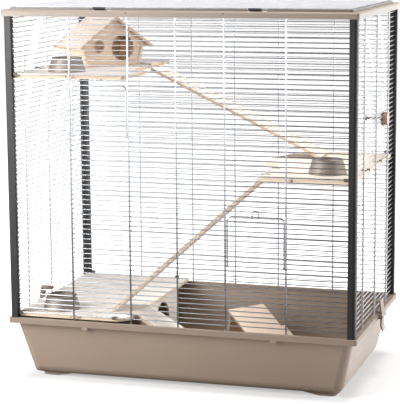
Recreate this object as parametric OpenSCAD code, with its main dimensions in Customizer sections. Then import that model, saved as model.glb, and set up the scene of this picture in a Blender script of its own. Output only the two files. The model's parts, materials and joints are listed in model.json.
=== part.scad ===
// Rodent cage: moulded tray, wire walls between corner posts, wire lid and wooden fittings.
// Millimetres, +Z up, origin on the floor under the middle of the cage, front towards -Y.

/* [Cage] */
// Outside width of the tray rim and of the top frame
cage_w = 800; // [780:5:860]
// Outside depth of the tray rim and of the top frame
cage_d = 480; // [470:5:520]
// Height of the wire walls, from the tray rim to the top frame
mesh_h = 678; // [676:1:720]

/* [Tray] */
// Height of the tray from the floor to the top of its rim
tray_h = 143; // [137:1:153]
// Height of the band around the rim
rim_h = 12; // [9:0.5:14]
// Overhang of the rim past the tray wall
rim_over = 10; // [8:0.5:12]
// Wall thickness of the tray
tray_t = 2.5; // [2:0.1:3]
// Inward lean of each tray wall from rim to floor
tray_lean = 32; // [26:1:36]
// Radius of the upright tray corners
tray_corner_r = 22; // [18:1:24]
// Radius along the bottom edge of the tray
tray_edge_r = 28; // [20:1:32]
// Height of the corner feet
foot_h = 6; // [4:0.5:8]
// Length of a corner foot along the front
foot_w = 70; // [60:1:90]
// Distance of each rim tab from the middle
tab_x = 217; // [190:1:240]

/* [Top frame] */
// Height of the band of the top frame
band_h = 14; // [12:0.5:16]
// Width of the top frame's rail
rail_w = 26; // [25:0.5:28]
// Height of the raised ridge on the top frame
ridge_h = 5; // [4.5:0.5:7]
// Distance of the ridge from the outer edge
ridge_set = 15; // [14:0.5:16]
// Thickness of the ridge
ridge_t = 5; // [4:0.5:5.5]
// Width of a clip notch in the ridge
notch_w = 46; // [44:1:54]

/* [Posts] */
// Side of a corner post
post_w = 17; // [16:0.5:18]
// Distance of a post from the outer edge of the frame
post_inset = 4; // [3:0.5:5]
// Radius of the outer corner of a post
post_r = 7; // [4:0.5:8]

/* [Wires] */
// Diameter of the level wires
row_d = 2; // [1.6:0.1:2.2]
// Diameter of the uprights
upright_d = 3.5; // [3:0.1:3.8]
// Spacing of the level wires
row_pitch = 11; // [10.9:0.05:11.2]
// Height of the lowest level wire above the rim
row_first = 12; // [11.5:0.25:12.5]
// Distance from the middle to the first upright
bay_first = 108.7; // [100:0.5:115]
// Width of a door bay between two uprights
door_bay = 135.5; // [126:0.5:142]
// Spacing of the uprights on the side walls
side_bay = 136; // [130:1:142]

/* [Doors] */
// Level wire that the upper door hangs on
upper_door_row = 37; // [36:1:38]
// Level wire that the lower door hangs on
lower_door_row = 12; // [11:1:14]
// Diameter of a door's frame wire
door_d = 3; // [2.6:0.1:3.2]
// Radius of a door's top corners
door_r = 10; // [7:0.5:14]

/* [Boards] */
// Thickness of the shelves
shelf_t = 8; // [6:0.5:9]
// Height of the top of the upper shelf above the rim
upper_shelf_up = 550; // [544:1:556]
// Width of the upper shelf behind its front tongue
upper_shelf_w = 222; // [210:1:228]
// Height of the top of the middle shelf above the rim
middle_shelf_up = 339; // [329:1:345]
// Width of the middle shelf in front of its rear tongue
middle_shelf_w = 207; // [195:1:215]
// Height of the underside of the lower platform above the rim
platform_up = 2.2; // [1:0.2:3]
// Width of the lower platform
platform_w = 267; // [255:1:275]
// Chamfer on the platform's front corner
platform_cut = 24; // [16:1:30]
// Thickness of the hide panel
panel_t = 6; // [4:0.5:8]
// Width of the hide panel
panel_w = 272; // [250:1:300]
// Diameter of the hole in the hide panel
panel_hole_d = 106; // [90:1:112]

/* [Ramps] */
// Width of the upper and the lower ramp
ramp_w = 84; // [80:1:90]
// Thickness of a ramp board
ramp_t = 7; // [6:0.5:7]
// Spacing of the rungs
rung_pitch = 16; // [14:0.5:24]
// Width of a rung
rung_w = 5; // [4:0.5:6]
// Height of a rung
rung_h = 2; // [1.5:0.25:3]
// Front edge of the upper ramp
upper_ramp_y = 80; // [76:1:84]
// Front edge of the lower ramp
lower_ramp_y = -168; // [-172:1:-160]
// Distance of the entry ramp's front edge past the tray's flat floor
entry_ramp_over = 8; // [4:1:9]
// Width of the entry ramp
entry_ramp_w = 92; // [86:1:96]

/* [House] */
// Width of the house at its floor
house_w = 142; // [134:1:145]
// Outward lean of each side wall
house_lean = 12.5; // [8:0.5:13]
// Depth of the house
house_depth = 93; // [86:1:94]
// Height of the side walls
house_wall_h = 50; // [46:1:53]
// Height of the ridge above the floor of the house
house_ridge_h = 109; // [102:1:111]
// Thickness of the house boards
house_t = 5; // [4:0.5:6]
// Diameter of the large round door
house_door_d = 60; // [50:1:62]
// Diameter of the small round window
house_window_d = 28; // [20:1:32]

/* [Bowls] */
// Diameter of a bowl at its foot
bowl_d = 84; // [76:1:88]
// Diameter of a bowl at its rim
bowl_rim_d = 66; // [60:1:70]
// Height of a bowl
bowl_h = 32; // [28:1:36]

/* [Wheel] */
// Diameter of the running wheel
wheel_d = 125; // [110:1:130]
// Depth of the running wheel
wheel_w = 33; // [28:1:36]
// Diameter of the wheel's axle
axle_d = 6; // [5:0.25:7]
// Distance of the axle behind the middle of the cage
wheel_y = 104; // [95:1:110]

/* [Hide] */
// Height of the top edge of the loose hide above the tray floor
hide_h = 107; // [95:1:111]
// Width of the hide's top board at its upper edge
hide_w = 104; // [96:1:110]
// Slope of the hide's top board
hide_slope = 29.5; // [27:0.5:33]

/* [Hidden] */
half_w = cage_w / 2;
half_d = cage_d / 2;
frame_z = tray_h + mesh_h;
rail_top = frame_z + band_h;
weld = 0.1;
seat_gap = 0.3;
run_gap = 0.06;
wire_fn = 32;
round_fn = 96;

// tray feet
foot_set = 15;

// wire walls
groove_in = 7;
groove_deep = 6.5;
row_y = half_d - post_inset - groove_in;
row_x = half_w - post_inset - groove_in;
out_off = row_d / 2 + upright_d / 2 - weld;
row_end_x = half_w - post_inset - post_w + groove_deep - 0.5;
row_end_y = half_d - post_inset - post_w + groove_deep - 0.5;
row_n = floor((mesh_h - row_first - row_d) / row_pitch) + 1;
upright_xs = [-bay_first - door_bay, -bay_first, 0, bay_first, bay_first + door_bay];
door_x = bay_first + door_bay / 2;
door_rows = 10;

// boards
board_x = row_x - row_d / 2 - 3;
board_y = row_y - row_d / 2 - 4;
upper_top = tray_h + upper_shelf_up;
middle_top = tray_h + middle_shelf_up;
platform_top = tray_h + platform_up + shelf_t;
upper_edge = -board_x + upper_shelf_w;
middle_edge = board_x - middle_shelf_w;
platform_edge = -board_x + platform_w;
tray_floor = foot_h + tray_t;
floor_half_d = half_d - rim_over - tray_lean - 0.8 * tray_edge_r;

// ramp hinges
rod_d = 3;
rod_set = 5.5;
shelf_drop = 12;
entry_drop = 1.5;
rod_end = 3.5;
eye_r = 3.4;
eye_w = 4;
eye_tail = 16;
eye_t = 1.6;
strap_in = 1.8;
strap_t = 1.2;
upper_reach = 68;
lower_reach = 57;
entry_reach = 243;
floor_edge_r = tray_edge_r - tray_t;
entry_rest = tray_floor + floor_edge_r - sqrt(pow(floor_edge_r, 2) - pow(entry_ramp_over, 2)) + seat_gap;

// roof lid
lid_d = 4;
lid_z = rail_top + lid_d / 2 + 0.4;
lid_x = half_w - rail_w + 2.5;
lid_y = half_d - rail_w + 2.5;
clip_x = door_x - 2;
clip_w = 27;

// tray clips
clip_pin_d = 4;
clip_pin_x = half_w + 5;
clip_pin_z = tray_h - rim_h / 2;
clip_len = 30;
clip_y = 28;

// wheel
wheel_row = 38;
wheel_z = row_z(wheel_row) + row_pitch / 2;
plate_t = 3;
plate_x = row_x - row_d / 2;

taupe = "#9c8878";
charcoal = "#2e2c2e";
zinc = "#b9bcc0";
wood = "#e6cba6";
steel = "#8d857c";

function row_z(i) = tray_h + row_first + i * row_pitch;

// first level wire that a hook on a board can reach over
function hook_row(top) = ceil((top + weld - tray_h - row_first) / row_pitch);

module at_four(x, y) {
  for (sx = [-1, 1], sy = [-1, 1]) translate([sx * x, sy * y, 0]) children();
}

module round_rect(w, d, r) {
  square([w - 2 * r, d], center = true);
  square([w, d - 2 * r], center = true);
  at_four(w / 2 - r, d / 2 - r) circle(r = r, $fn = round_fn);
}

module wire_x(d, x1, x2) {
  translate([x1, 0, 0]) rotate([0, 90, 0]) cylinder(d = d, h = x2 - x1, $fn = wire_fn);
}

module wire_y(d, y1, y2) {
  translate([0, y1, 0]) rotate([-90, 0, 0]) cylinder(d = d, h = y2 - y1, $fn = wire_fn);
}

// profile drawn in X and Z, extruded along Y from y1 to y2
module slab_y(y1, y2) {
  translate([0, y2, 0]) rotate([90, 0, 0]) linear_extrude(height = y2 - y1) children();
}

// profile drawn in Y and Z, extruded along X from x1 to x2
module slab_x(x1, x2) {
  translate([x1, 0, 0]) rotate([90, 0, 90]) linear_extrude(height = x2 - x1) children();
}

// leaning tub section with a rounded bottom edge
module tub_section(top, bottom, z1, z2, r) {
  beta = atan2(z2 - z1, top - bottom);
  tl = r * tan(beta / 2);
  polygon([[-top, z2], [top, z2],
    [bottom + tl * cos(beta), z1 + tl * sin(beta)], [bottom - tl, z1],
    [tl - bottom, z1], [-bottom - tl * cos(beta), z1 + tl * sin(beta)]]);
  for (s = [-1, 1]) translate([s * (bottom - tl), z1 + r]) circle(r = r, $fn = round_fn);
}

// cutter that rounds one leaning corner of a tub
module corner_cutter(lean, rise, r) {
  tilt = atan2(lean * sqrt(2), rise);
  phi = 180 - acos(lean * lean / (lean * lean + rise * rise));
  reach = r / tan(phi / 2);
  tx = -reach * cos(phi / 2);
  ty = reach * sin(phi / 2);
  below = 40;
  clear = 20;
  rotate([0, tilt, 45]) translate([0, 0, -below]) linear_extrude(height = rise + 2.5 * below) difference() {
    polygon([[tx, ty], [tx + clear * sin(phi / 2), ty + clear * cos(phi / 2)], [1.5 * clear, 0],
      [tx + clear * sin(phi / 2), -ty - clear * cos(phi / 2)], [tx, -ty]]);
    translate([-r / sin(phi / 2), 0]) circle(r = r, $fn = round_fn);
  }
}

module tub(wx, wy, z1, z2, lean, edge_r, corner_r) {
  difference() {
    intersection() {
      slab_y(-half_d, half_d) tub_section(wx, wx - lean, z1, z2, edge_r);
      slab_x(-half_w, half_w) tub_section(wy, wy - lean, z1, z2, edge_r);
    }
    for (mx = [0, 1], my = [0, 1]) mirror([mx, 0, 0]) mirror([0, my, 0])
      translate([wx - lean, wy - lean, z1]) corner_cutter(lean, z2 - z1, corner_r);
  }
}

module rim_tab(x) {
  tab_w = 14;
  translate([x - tab_w / 2, -half_d + 1, tray_h - rim_h - 6]) cube([tab_w, rim_over - 2, 8]);
}

module clip_lugs() {
  lug_w = 5;
  for (s = [-1, 1]) difference() {
    slab_y(s * (clip_len / 2 + seat_gap + lug_w / 2) - lug_w / 2,
      s * (clip_len / 2 + seat_gap + lug_w / 2) + lug_w / 2) union() {
      translate([clip_pin_x, clip_pin_z]) circle(d = rim_h - 2, $fn = round_fn);
      translate([half_w - 2, clip_pin_z - rim_h / 2 + 1]) square([clip_pin_x - half_w + 2, rim_h - 2]);
    }
    translate([clip_pin_x, 0, clip_pin_z]) wire_y(clip_pin_d, -half_d, half_d);
  }
}

// low foot at each corner, its outer faces under the wall, its inner end rising to the floor
module feet() {
  foot_x = half_w - rim_over - tray_lean - foot_set;
  foot_y = half_d - rim_over - tray_lean - foot_set;
  foot_d = 60;
  foot_flat = 38;
  foot_r = 14;
  into = 0.3;
  intersection() {
    linear_extrude(height = foot_h + into) round_rect(2 * foot_x, 2 * foot_y, foot_r);
    for (mx = [0, 1], my = [0, 1]) mirror([mx, 0, 0]) mirror([0, my, 0])
      slab_y(foot_y - foot_d, foot_y) polygon([[foot_x - foot_w, foot_h + into],
        [foot_x - foot_flat, 0], [foot_x, 0], [foot_x, foot_h + into]]);
  }
}

module tray() {
  skirt_t = 3;
  rim_r = 6;
  wall_top = tray_h - skirt_t;
  slope = tray_lean / (wall_top - foot_h);
  over = 8;
  top_wx = half_w - rim_over;
  top_wy = half_d - rim_over;
  inner_out = slope * (over + skirt_t) - tray_t;
  color(taupe) union() {
    difference() {
      union() {
        tub(top_wx, top_wy, foot_h, wall_top, tray_lean, tray_edge_r, tray_corner_r);
        translate([0, 0, wall_top]) linear_extrude(height = skirt_t)
          round_rect(cage_w, cage_d, rim_r);
      }
      tub(top_wx + inner_out, top_wy + inner_out, tray_floor, tray_h + over,
        slope * (tray_h + over - tray_floor), tray_edge_r - tray_t, tray_corner_r - tray_t);
    }
    translate([0, 0, tray_h - rim_h]) linear_extrude(height = rim_h - 1) difference() {
      round_rect(cage_w, cage_d, rim_r);
      round_rect(cage_w - 2 * skirt_t, cage_d - 2 * skirt_t, rim_r - skirt_t);
    }
    feet();
    for (s = [-1, 1], b = [0, 1]) mirror([0, b, 0]) rim_tab(s * tab_x);
    for (a = [0, 180]) rotate(a) translate([0, clip_y, 0]) clip_lugs();
  }
}

// level wires with gaps for the doors, listed as [left, right, first row, last row]
module long_wall(gaps) {
  gap_half = door_bay / 2 - upright_d / 2;
  color(zinc) union() {
    for (i = [0 : row_n - 1]) {
      hit = [for (g = gaps) if (i > g[1] && i <= g[1] + door_rows) g[0]];
      translate([0, -row_y, row_z(i)]) {
        if (len(hit) == 0) wire_x(row_d, -row_end_x, row_end_x);
        for (x = hit) {
          wire_x(row_d, -row_end_x, x - gap_half);
          wire_x(row_d, x + gap_half, row_end_x);
        }
      }
    }
    for (x = upright_xs) translate([x, -row_y - out_off, tray_h])
      cylinder(d = upright_d, h = mesh_h, $fn = wire_fn);
  }
}

module front_wall() {
  long_wall([[-door_x, upper_door_row], [door_x, lower_door_row]]);
}

module back_wall() {
  mirror([0, 1, 0]) long_wall([]);
}

module right_wall() {
  color(zinc) union() {
    for (i = [0 : row_n - 1]) translate([row_x, 0, row_z(i)]) wire_y(row_d, -row_end_y, row_end_y);
    for (y = [-side_bay, 0, side_bay]) translate([row_x + out_off, y, tray_h])
      cylinder(d = upright_d, h = mesh_h, $fn = wire_fn);
  }
}

module left_wall() {
  mirror([1, 0, 0]) right_wall();
}

// post for the corner at +X and +Y, outer corner rounded, one groove for each wall
module post() {
  groove_w = row_d + 0.6;
  px = half_w - post_inset;
  py = half_d - post_inset;
  color(charcoal) translate([0, 0, tray_h]) linear_extrude(height = mesh_h) difference() {
    union() {
      translate([px - post_w, py - post_w]) square([post_w - post_r, post_w]);
      translate([px - post_w, py - post_w]) square([post_w, post_w - post_r]);
      translate([px - post_r, py - post_r]) circle(r = post_r, $fn = round_fn);
    }
    translate([px - post_w - 1, row_y - groove_w / 2]) square([groove_deep + 1, groove_w]);
    translate([row_x - groove_w / 2, py - post_w - 1]) square([groove_w, groove_deep + 1]);
  }
}

module back_right_post() {
  post();
}

module back_left_post() {
  mirror([1, 0, 0]) post();
}

module front_right_post() {
  mirror([0, 1, 0]) post();
}

module front_left_post() {
  mirror([1, 0, 0]) mirror([0, 1, 0]) post();
}

module bevel_section(half, z1, z2, bevel) {
  polygon([[-half, z1], [half, z1], [half, z2 - bevel], [half - bevel, z2],
    [bevel - half, z2], [-half, z2 - bevel]]);
}

module top_frame() {
  bevel = 3;
  frame_r = 6;
  ridge_r = 8;
  pip_d = 3;
  pip_z = rail_top - bevel - pip_d / 2 - seat_gap;
  slot_y = 100;
  color(taupe) difference() {
    union() {
      intersection() {
        translate([0, 0, frame_z]) linear_extrude(height = band_h) round_rect(cage_w, cage_d, frame_r);
        slab_y(-half_d, half_d) bevel_section(half_w, frame_z, rail_top, bevel);
        slab_x(-half_w, half_w) bevel_section(half_d, frame_z, rail_top, bevel);
      }
      translate([0, 0, rail_top - 1]) linear_extrude(height = ridge_h + 1)
        round_rect(cage_w - 2 * ridge_set, cage_d - 2 * ridge_set, ridge_r);
    }
    translate([0, 0, frame_z - 1]) linear_extrude(height = band_h + ridge_h + 2)
      round_rect(cage_w - 2 * rail_w, cage_d - 2 * rail_w, ridge_r);
    translate([0, 0, rail_top]) linear_extrude(height = ridge_h + 1)
      round_rect(cage_w - 2 * ridge_set - 2 * ridge_t, cage_d - 2 * ridge_set - 2 * ridge_t,
        ridge_r - ridge_t);
    for (s = [-1, 1]) {
      translate([s * clip_x - notch_w / 2 + 4, -half_d + ridge_set - 1, rail_top - 3])
        cube([notch_w, rail_w, ridge_h + 4]);
      translate([s * bay_first, -half_d - 1, pip_z]) wire_y(pip_d, 0, 2.5);
      for (y = [-slot_y, slot_y]) translate([s * (half_w - 9) - 2, y - 7, rail_top - 2]) cube([4, 14, 3]);
    }
  }
}

module bent_corner(r, d) {
  rotate_extrude(angle = 90, $fn = round_fn) translate([r, 0]) circle(d = d, $fn = wire_fn);
}

module roof_panel() {
  bend = 12;
  lid_rows = floor((2 * lid_y - 14) / row_pitch);
  first = -(lid_rows - 1) * row_pitch / 2;
  color(zinc) translate([0, 0, lid_z]) union() {
    for (s = [-1, 1]) {
      translate([0, s * lid_y, 0]) wire_x(lid_d, bend - lid_x, lid_x - bend);
      translate([s * lid_x, 0, 0]) wire_y(lid_d, bend - lid_y, lid_y - bend);
    }
    for (mx = [0, 1], my = [0, 1]) mirror([mx, 0, 0]) mirror([0, my, 0])
      translate([lid_x - bend, lid_y - bend, 0]) bent_corner(bend, lid_d);
    for (i = [0 : lid_rows - 1]) translate([0, first + i * row_pitch, lid_d / 2 + row_d / 2 - weld])
      wire_x(row_d, -lid_x, lid_x);
    for (x = upright_xs) translate([x, 0, lid_d / 2 - upright_d / 2]) wire_y(upright_d, -lid_y, lid_y);
  }
}

// saddles that hold the rear bar of the lid down on the rail
module roof_hinges() {
  saddle_w = 14;
  saddle_h = 7.5;
  bore = lid_d + 2 * run_gap;
  color(charcoal) for (s = [-1, 1]) difference() {
    translate([s * door_x - saddle_w / 2, lid_y - 3.9, rail_top]) cube([saddle_w, 7.3, saddle_h]);
    translate([s * door_x, lid_y, lid_z]) wire_x(bore, -saddle_w, saddle_w);
    translate([s * door_x - saddle_w, lid_y - bore / 2, rail_top - 1])
      cube([2 * saddle_w, bore, lid_z - rail_top + 1]);
  }
}

// black clip on the front bar of the lid, its tab lying in the notch of the ridge
module roof_clip(x) {
  barrel_r = lid_d / 2 + 1.4;
  tab_end = half_d - ridge_set + 3;
  color(charcoal) translate([x, 0, 0]) difference() {
    union() {
      translate([0, -lid_y, lid_z]) wire_x(2 * barrel_r, -clip_w / 2, clip_w / 2);
      slab_x(-clip_w / 2, clip_w / 2) polygon([[-lid_y, lid_z + barrel_r], [-lid_y, lid_z + 1],
        [-lid_y - barrel_r, lid_z - 1.5], [-tab_end, lid_z - 1.5], [-tab_end - 1.5, lid_z + 1.5],
        [-tab_end - 1.5, lid_z + 4.5], [-tab_end + 1, lid_z + 4.5], [-tab_end + 3, lid_z + 2.8]]);
    }
    translate([0, -lid_y, lid_z]) wire_x(lid_d + 2 * run_gap, -clip_w, clip_w);
  }
}

module left_roof_clip() {
  roof_clip(-clip_x);
}

module right_roof_clip() {
  roof_clip(clip_x);
}

module clip_tip(x) {
  tip_d = 3.4;
  tip_l = 10;
  color(steel) translate([x + clip_w / 2, -half_d + ridge_set - 0.5, lid_z + 0.6]) union() {
    wire_x(tip_d, 0, tip_l);
    translate([tip_l, 0, 0]) sphere(d = tip_d, $fn = wire_fn);
  }
}

module left_clip_tip() {
  clip_tip(-clip_x);
}

module right_clip_tip() {
  clip_tip(clip_x);
}

// wire door in its own place: hinge axis on the X axis, rising along +Z
module door() {
  side = door_bay / 2 - upright_d / 2 - 1.2 - door_d / 2;
  high = door_rows * row_pitch;
  front = -door_d / 2;
  knuckle_r = row_d / 2 + 1.3;
  knuckle_half = 2.2;
  color(zinc) difference() {
    union() {
      for (s = [-1, 1]) {
        translate([s * side, front, 1.5]) cylinder(d = door_d, h = high - 1.5 - door_r, $fn = wire_fn);
        wire_x(2 * knuckle_r, s * side - knuckle_half, s * side + knuckle_half);
      }
      for (m = [0, 1]) mirror([m, 0, 0]) translate([side - door_r, front, high - door_r])
        rotate([90, 0, 0]) bent_corner(door_r, door_d);
      translate([0, front, high]) wire_x(door_d, door_r - side, side - door_r);
      for (i = [1 : door_rows - 1]) translate([0, front + door_d / 2 + row_d / 2 - weld, i * row_pitch])
        wire_x(row_d, -side - 0.5, side + 0.5);
    }
    wire_x(row_d + 2 * run_gap, -side - 4, side + 4);
  }
}

// formed-wire latch in its own place: pivot on the X axis, rising along +Z
module door_latch() {
  leg = 7;
  latch_d = 2;
  tongue_d = 1.7;
  bend = 3;
  eye = door_d / 2 + 1.3;
  ahead = -1.5;
  tall = row_pitch + row_d / 2 + latch_d / 2 + 0.55;
  color(zinc) difference() {
    union() {
      for (s = [-1, 1]) {
        wire_x(2 * eye, s * leg - 2, s * leg + 2);
        translate([s * leg, ahead, 1.8]) cylinder(d = latch_d, h = tall - bend - 1.8, $fn = wire_fn);
      }
      for (m = [0, 1]) mirror([m, 0, 0]) translate([leg - bend, ahead, tall - bend])
        rotate([90, 0, 0]) bent_corner(bend, latch_d);
      translate([0, ahead, tall]) wire_x(latch_d, bend - leg, leg - bend);
      translate([0, 0, tall]) wire_y(tongue_d, ahead, ahead + 5.5);
    }
    wire_x(door_d + 2 * run_gap, -leg - 4, leg + 4);
  }
}

module upper_door() {
  translate([-door_x, -row_y, row_z(upper_door_row)]) door();
}

module lower_door() {
  translate([door_x, -row_y, row_z(lower_door_row)]) door();
}

module upper_door_latch() {
  translate([-door_x, -row_y - door_d / 2, row_z(upper_door_row + door_rows)]) door_latch();
}

module lower_door_latch() {
  translate([door_x, -row_y - door_d / 2, row_z(lower_door_row + door_rows)]) door_latch();
}

// lever clip on the right side, swinging on its pin: a curved hook above, a thumb lever below
module tray_clip() {
  barrel_r = 4.2;
  arm_t = 3;
  hook_in = norm([clip_pin_x - row_x, row_z(1) - clip_pin_z]) + row_d / 2 + 0.5;
  lever_z = clip_pin_z - 34;
  hook_from = 96;
  hook_to = 132;
  color(taupe) difference() {
    union() {
      translate([clip_pin_x, 0, clip_pin_z]) wire_y(2 * barrel_r, -clip_len / 2, clip_len / 2);
      slab_y(-clip_len / 2, clip_len / 2) {
        translate([clip_pin_x, clip_pin_z]) intersection() {
          difference() {
            circle(r = hook_in + arm_t, $fn = round_fn);
            circle(r = hook_in, $fn = round_fn);
          }
          polygon([[0, 0], 60 * [cos(hook_from), sin(hook_from)], 70 * [cos(115), sin(115)],
            60 * [cos(hook_to), sin(hook_to)]]);
        }
        polygon([[clip_pin_x - 1, clip_pin_z + 2], [clip_pin_x + 2.6, clip_pin_z + 2],
          [clip_pin_x + hook_in * cos(hook_from) + 1.5, clip_pin_z + hook_in + 2],
          [clip_pin_x + hook_in * cos(hook_from) - 1.5, clip_pin_z + hook_in + 0.6]]);
        polygon([[clip_pin_x - 1.5, clip_pin_z - 2], [clip_pin_x + 3, clip_pin_z - 2],
          [clip_pin_x + 1, lever_z + 14], [clip_pin_x + 5, lever_z + 1], [clip_pin_x + 2.5, lever_z],
          [clip_pin_x - 2.5, lever_z + 13]]);
      }
    }
    translate([clip_pin_x, 0, clip_pin_z]) wire_y(clip_pin_d + 2 * run_gap, -clip_len, clip_len);
  }
}

module right_tray_clip() {
  translate([0, clip_y, 0]) tray_clip();
}

module left_tray_clip() {
  rotate(180) translate([0, clip_y, 0]) tray_clip();
}

module tray_clip_pins() {
  pin_l = clip_len + 2 * seat_gap + 10;
  color(steel) for (a = [0, 180]) rotate(a) translate([clip_pin_x, clip_y, clip_pin_z])
    wire_y(clip_pin_d, -pin_l / 2, pin_l / 2);
}

// board against one end of the cage, cut away round the posts
module shelf_outline(w) {
  notch_x = board_x - (half_w - post_inset - post_w) + 1.5;
  notch_y = board_y - (half_d - post_inset - post_w) + 1.5;
  difference() {
    translate([-board_x, -board_y]) square([w, 2 * board_y]);
    for (s = [-1, 1]) translate([-board_x, s * board_y]) square([2 * notch_x, 2 * notch_y], center = true);
  }
}

// upper shelf, wider in front of the ramp
module upper_shelf() {
  tongue = 43;
  tongue_y = -77;
  slant = 34;
  cut = 6;
  color(wood) translate([0, 0, upper_top - shelf_t]) linear_extrude(height = shelf_t)
    union() {
      shelf_outline(upper_shelf_w);
      translate([upper_edge, 0]) polygon([[-1, -board_y], [tongue - cut, -board_y],
        [tongue, -board_y + cut], [tongue, tongue_y], [0, tongue_y + slant], [-1, tongue_y + slant]]);
    }
}

// middle shelf, wider behind the lower ramp
module middle_shelf() {
  tongue = 46;
  tongue_y = -21;
  slant = 34;
  color(wood) translate([0, 0, middle_top - shelf_t]) linear_extrude(height = shelf_t)
    mirror([1, 0]) union() {
      shelf_outline(middle_shelf_w);
      translate([-middle_edge, tongue_y]) polygon([[-1, 0], [0, 0], [tongue - 3, slant], [tongue, 3 * slant],
        [tongue / 2, 5 * slant], [0, 6.5 * slant], [-1, 6.5 * slant]]);
    }
}

module lower_platform() {
  color(wood) translate([0, 0, platform_top - shelf_t]) linear_extrude(height = shelf_t)
    difference() {
      shelf_outline(platform_w);
      translate([platform_edge, -board_y]) rotate(45) square(platform_cut * sqrt(2), center = true);
    }
}

// bent strip on the edge of a board at -Y, hooked over a level wire
module shelf_hook(top, board, row) {
  strip_t = 1.2;
  strip_w = 8;
  foot = 12;
  over = row_z(hook_row(top)) + row_d / 2 + weld;
  inner = row - row_d / 2 - 1;
  outer = row + row_d / 2 + 0.8;
  slab_x(-strip_w / 2, strip_w / 2) polygon([[-board + foot, top], [-board + foot, top + strip_t],
    [-inner + strip_t, top + strip_t], [-inner + strip_t, over + strip_t], [-outer - strip_t, over + strip_t],
    [-outer - strip_t, over - 5], [-outer, over - 5], [-outer, over], [-inner, over], [-inner, top]]);
}

module long_hook(x, top) {
  translate([x, 0, 0]) shelf_hook(top, board_y, row_y);
}

module end_hook(y, top) {
  translate([0, y, 0]) rotate(-90) shelf_hook(top, board_x, row_x);
}

module shelf_hooks() {
  end_in = 13;
  end_y = 70;
  color(steel) for (b = [0, 1]) mirror([0, b, 0]) {
    long_hook(-board_x + end_in, upper_top);
    end_hook(end_y, upper_top);
    long_hook(board_x - end_in, middle_top);
    mirror([1, 0, 0]) end_hook(end_y, middle_top);
    long_hook(-board_x + end_in, platform_top);
    long_hook(platform_edge - platform_cut - 8, platform_top);
  }
}

module nail_head(x, top) {
  head_d = 3.2;
  head_t = 0.6;
  translate([x, -board_y, top - shelf_t / 2]) wire_y(head_d, -head_t, 0);
}

module shelf_nails() {
  nail_in = 130;
  pair = 22;
  color(steel) for (b = [0, 1]) mirror([0, b, 0]) {
    nail_head(-board_x + nail_in, upper_top);
    nail_head(board_x - nail_in, middle_top);
    for (x = [0, pair]) nail_head(-board_x + nail_in + x, platform_top);
  }
}

module hide_panel() {
  high = platform_top - shelf_t;
  hole_y = 16;
  hole_below = 7;
  color(wood) slab_x(platform_edge - panel_t, platform_edge) difference() {
    translate([-panel_w / 2, tray_floor]) square([panel_w, high - tray_floor]);
    translate([hole_y, high - panel_hole_d / 2 - hole_below]) circle(d = panel_hole_d, $fn = round_fn);
  }
}

// a ramp from a hinge rod at the origin, falling along +X; slope in degrees
function ramp_slope(x1, z1, x2, z2) = atan2(z1 - z2 - ramp_t / 2, abs(x2 - x1));
function ramp_len(z1, z2, slope) = (z1 - z2 - seat_gap - ramp_t / 2 * cos(slope)) / sin(slope);

module ramp_board(length, slope, w) {
  color(wood) rotate([0, slope, 0]) difference() {
    translate([-rod_end, 0, -ramp_t / 2]) cube([length + rod_end, w, ramp_t]);
    wire_y(rod_d, -1, w + 1);
  }
}

module ramp_rungs(length, slope) {
  first = 18;
  rung_in = 4;
  count = floor((length - first - 12) / rung_pitch) + 1;
  color(wood) rotate([0, slope, 0]) for (i = [0 : count - 1])
    translate([first + i * rung_pitch - rung_w / 2, rung_in, ramp_t / 2])
      cube([rung_w, ramp_w - 2 * rung_in, rung_h]);
}

module ramp_rod(w) {
  color(steel) wire_y(rod_d, -eye_w - 2, w + eye_w + 2);
}

// the two eyes that carry a rod, each on a strap bent over the edge of the board behind
module eye_pair(drop, w) {
  for (y = [-eye_w - 1, w + 1]) translate([0, y, 0]) difference() {
    union() {
      wire_y(2 * eye_r, 0, eye_w);
      translate([-strap_in - strap_t, 0, 0]) cube([strap_t, eye_w, drop + eye_t]);
      translate([-rod_set - eye_tail, 0, drop]) cube([rod_set + eye_tail - strap_in, eye_w, eye_t]);
    }
    wire_y(rod_d + 2 * run_gap, -1, eye_w + 1);
  }
}

upper_rod = [upper_edge + rod_set, upper_top - shelf_drop];
lower_rod = [middle_edge - rod_set, middle_top - shelf_drop];
entry_rod = [platform_edge + rod_set, platform_top - entry_drop];
upper_land = middle_edge + upper_reach;
lower_land = platform_edge - lower_reach;
entry_land = platform_edge + entry_reach;
upper_slope = ramp_slope(upper_rod[0], upper_rod[1], upper_land, middle_top);
lower_slope = ramp_slope(lower_rod[0], lower_rod[1], lower_land, platform_top);
entry_slope = ramp_slope(entry_rod[0], entry_rod[1], entry_land, entry_rest);
upper_len = ramp_len(upper_rod[1], middle_top, upper_slope);
lower_len = ramp_len(lower_rod[1], platform_top, lower_slope);
entry_len = ramp_len(entry_rod[1], entry_rest, entry_slope);

module at_upper_ramp() {
  translate([upper_rod[0], upper_ramp_y, upper_rod[1]]) children();
}

module at_lower_ramp() {
  translate([lower_rod[0], lower_ramp_y, lower_rod[1]]) mirror([1, 0, 0]) children();
}

module at_entry_ramp() {
  translate([entry_rod[0], -floor_half_d - entry_ramp_over, entry_rod[1]]) children();
}

module upper_ramp_board() {
  at_upper_ramp() ramp_board(upper_len, upper_slope, ramp_w);
}

module upper_ramp_rungs() {
  at_upper_ramp() ramp_rungs(upper_len, upper_slope);
}

module upper_ramp_rod() {
  at_upper_ramp() ramp_rod(ramp_w);
}

module lower_ramp_board() {
  at_lower_ramp() ramp_board(lower_len, lower_slope, ramp_w);
}

module lower_ramp_rungs() {
  at_lower_ramp() ramp_rungs(lower_len, lower_slope);
}

module lower_ramp_rod() {
  at_lower_ramp() ramp_rod(ramp_w);
}

module entry_ramp_board() {
  at_entry_ramp() ramp_board(entry_len, entry_slope, entry_ramp_w);
}

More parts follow.
